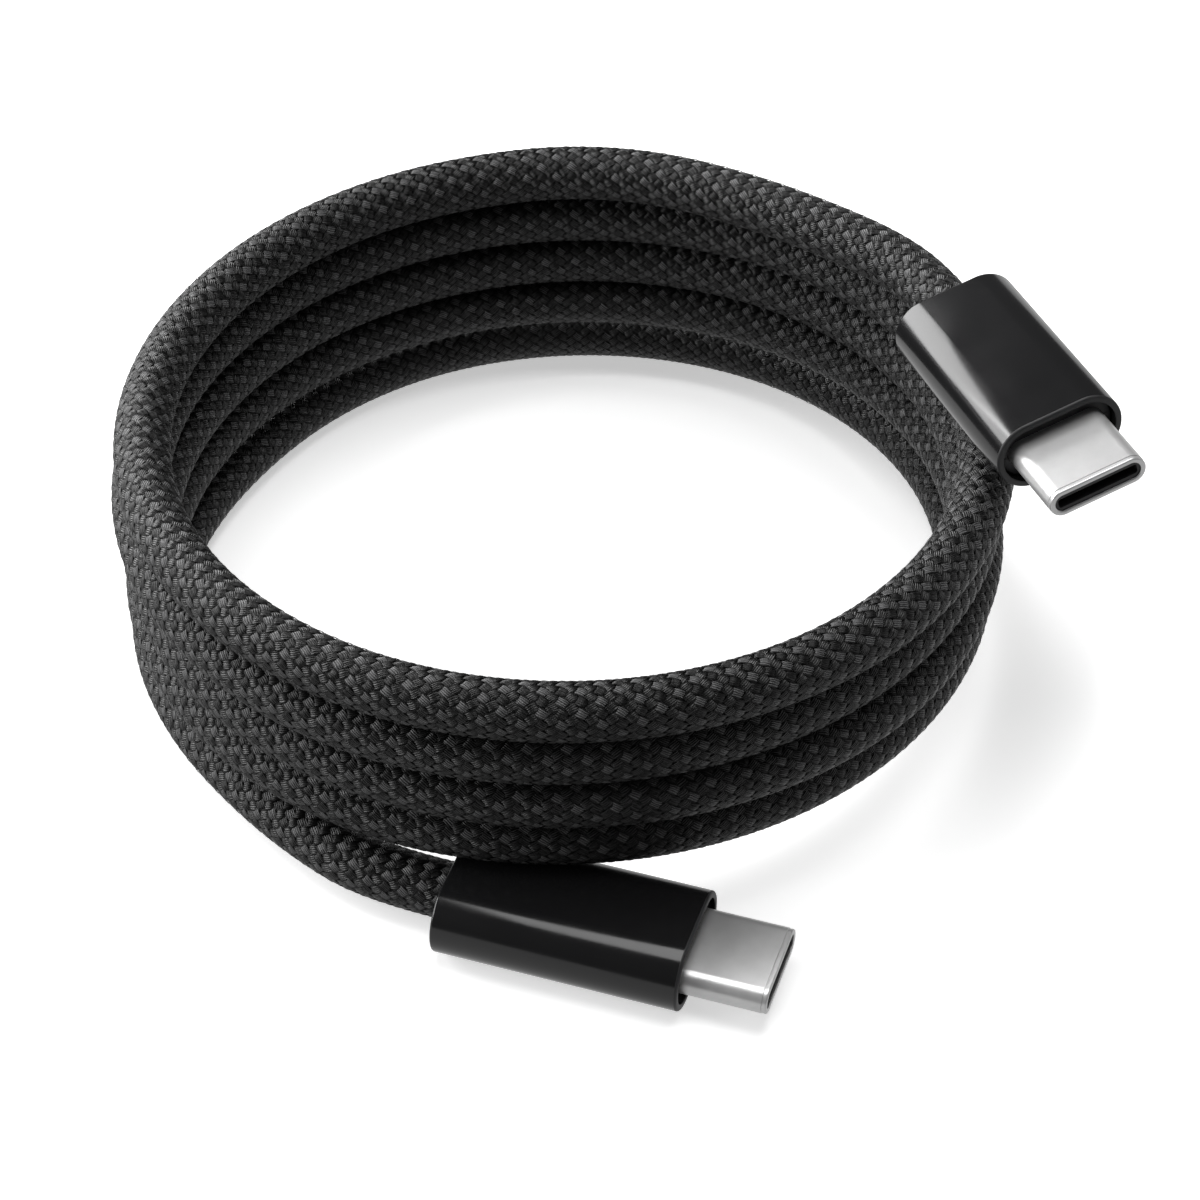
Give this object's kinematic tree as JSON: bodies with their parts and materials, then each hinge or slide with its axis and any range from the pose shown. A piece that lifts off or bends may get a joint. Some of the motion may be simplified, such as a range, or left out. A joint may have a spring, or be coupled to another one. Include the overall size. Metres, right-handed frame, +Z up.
{
  "type": "charging cable",
  "caption": "Braided charging cable wound into a small coil, with a reversible flat-oval plug at each end that has sprung contacts and side latches.",
  "frame": {"origin": "on the axis of the coil, at the surface that the cable lies on", "axes": "+Z up along the axis of the coil; +X towards the side where the upper plug lies; +Y towards the back, away from the lower plug"},
  "size_m": [0.0817, 0.0857, 0.0311],
  "materials": {
    "sleeve": "satin black",
    "inner_mould": "matt black",
    "shell": "satin nickel",
    "insulator": "matt black",
    "contacts": "gold plated",
    "latches": "plain steel",
    "circuit_board": "solder mask",
    "capacitor": "ceramic",
    "marker_chip": "moulded package",
    "shield_can": "tinned sheet",
    "crimp_ring": "pressed",
    "cord_end": "jacket and braid",
    "power_wire": "red insulation",
    "ground_wire": "black insulation",
    "control_wire": "blue insulation",
    "data_wires": "white insulation",
    "braid": "woven nylon"
  },
  "bodies": {
    "cable": {"coiled_cord": "braid", "lead_a": "braid", "lead_b": "braid", "plug_a_sleeve": "sleeve", "plug_a_inner_mould": "inner_mould", "plug_a_shell": "shell", "plug_a_insulator": "insulator", "plug_a_circuit_board": "circuit_board", "plug_a_capacitor": "capacitor", "plug_a_marker_chip": "marker_chip", "plug_a_shield_can": "shield_can", "plug_a_crimp_ring": "crimp_ring", "plug_a_cord_end": "cord_end", "plug_a_power_wire": "power_wire", "plug_a_ground_wire": "ground_wire", "plug_a_control_wire": "control_wire", "plug_a_data_wires": "data_wires", "plug_b_sleeve": "sleeve", "plug_b_inner_mould": "inner_mould", "plug_b_shell": "shell", "plug_b_insulator": "insulator", "plug_b_circuit_board": "circuit_board", "plug_b_capacitor": "capacitor", "plug_b_shield_can": "shield_can", "plug_b_crimp_ring": "crimp_ring", "plug_b_cord_end": "cord_end", "plug_b_power_wire": "power_wire", "plug_b_ground_wire": "ground_wire", "plug_b_control_wire": "control_wire", "plug_b_data_wires": "data_wires"},
    "plug_a_upper_contacts": {"plug_a_upper_contacts": "contacts"},
    "plug_a_lower_contacts": {"plug_a_lower_contacts": "contacts"},
    "plug_a_latch_left": {"plug_a_latch_left": "latches"},
    "plug_a_latch_right": {"plug_a_latch_right": "latches"},
    "plug_b_upper_contacts": {"plug_b_upper_contacts": "contacts"},
    "plug_b_lower_contacts": {"plug_b_lower_contacts": "contacts"},
    "plug_b_latch_left": {"plug_b_latch_left": "latches"},
    "plug_b_latch_right": {"plug_b_latch_right": "latches"}
  },
  "joints": [
    {"name": "plug_a_upper_row_flex", "type": "hinge", "parent": "cable", "child": "plug_a_upper_contacts", "pos_m": [0.03678, -0.00293, 0.02741], "axis": [-0.9023, -0.3564, -0.2424], "range_deg": [0, 0.7], "stiffness_Nm_per_rad": 2},
    {"name": "plug_a_lower_row_flex", "type": "hinge", "parent": "cable", "child": "plug_a_lower_contacts", "pos_m": [0.03704, -0.00294, 0.02646], "axis": [0.9023, 0.3564, 0.2424], "range_deg": [0, 0.7]},
    {"name": "plug_a_left_latch_flex", "type": "hinge", "parent": "cable", "child": "plug_a_latch_left", "pos_m": [0.0339, -0.00444, 0.02613], "axis": [0.2625, -0.0083, -0.9649], "range_deg": [0, 1.1], "stiffness_Nm_per_rad": 2},
    {"name": "plug_a_right_latch_flex", "type": "hinge", "parent": "cable", "child": "plug_a_latch_right", "pos_m": [0.04013, -0.00198, 0.0278], "axis": [-0.2625, 0.0083, 0.9649], "range_deg": [0, 1.1]},
    {"name": "plug_b_upper_row_flex", "type": "hinge", "parent": "cable", "child": "plug_b_upper_contacts", "pos_m": [0.00444, -0.03792, 0.00345], "axis": [-0.3123, -0.95, 0], "range_deg": [0, 0.7], "stiffness_Nm_per_rad": 2},
    {"name": "plug_b_lower_row_flex", "type": "hinge", "parent": "cable", "child": "plug_b_lower_contacts", "pos_m": [0.00444, -0.03792, 0.00246], "axis": [0.3123, 0.95, 0], "range_deg": [0, 0.7]},
    {"name": "plug_b_left_latch_flex", "type": "hinge", "parent": "cable", "child": "plug_b_latch_left", "pos_m": [0.00365, -0.0413, 0.00295], "axis": [0, 0, -1], "range_deg": [0, 1.1], "stiffness_Nm_per_rad": 2},
    {"name": "plug_b_right_latch_flex", "type": "hinge", "parent": "cable", "child": "plug_b_latch_right", "pos_m": [0.0058, -0.03473, 0.00295], "axis": [0, 0, 1], "range_deg": [0, 1.1]}
  ],
  "couplings": [
    {"joint": "plug_a_lower_row_flex", "follows": "plug_a_upper_row_flex", "ratio": 1},
    {"joint": "plug_a_right_latch_flex", "follows": "plug_a_left_latch_flex", "ratio": 1},
    {"joint": "plug_b_lower_row_flex", "follows": "plug_b_upper_row_flex", "ratio": 1},
    {"joint": "plug_b_right_latch_flex", "follows": "plug_b_left_latch_flex", "ratio": 1}
  ]
}
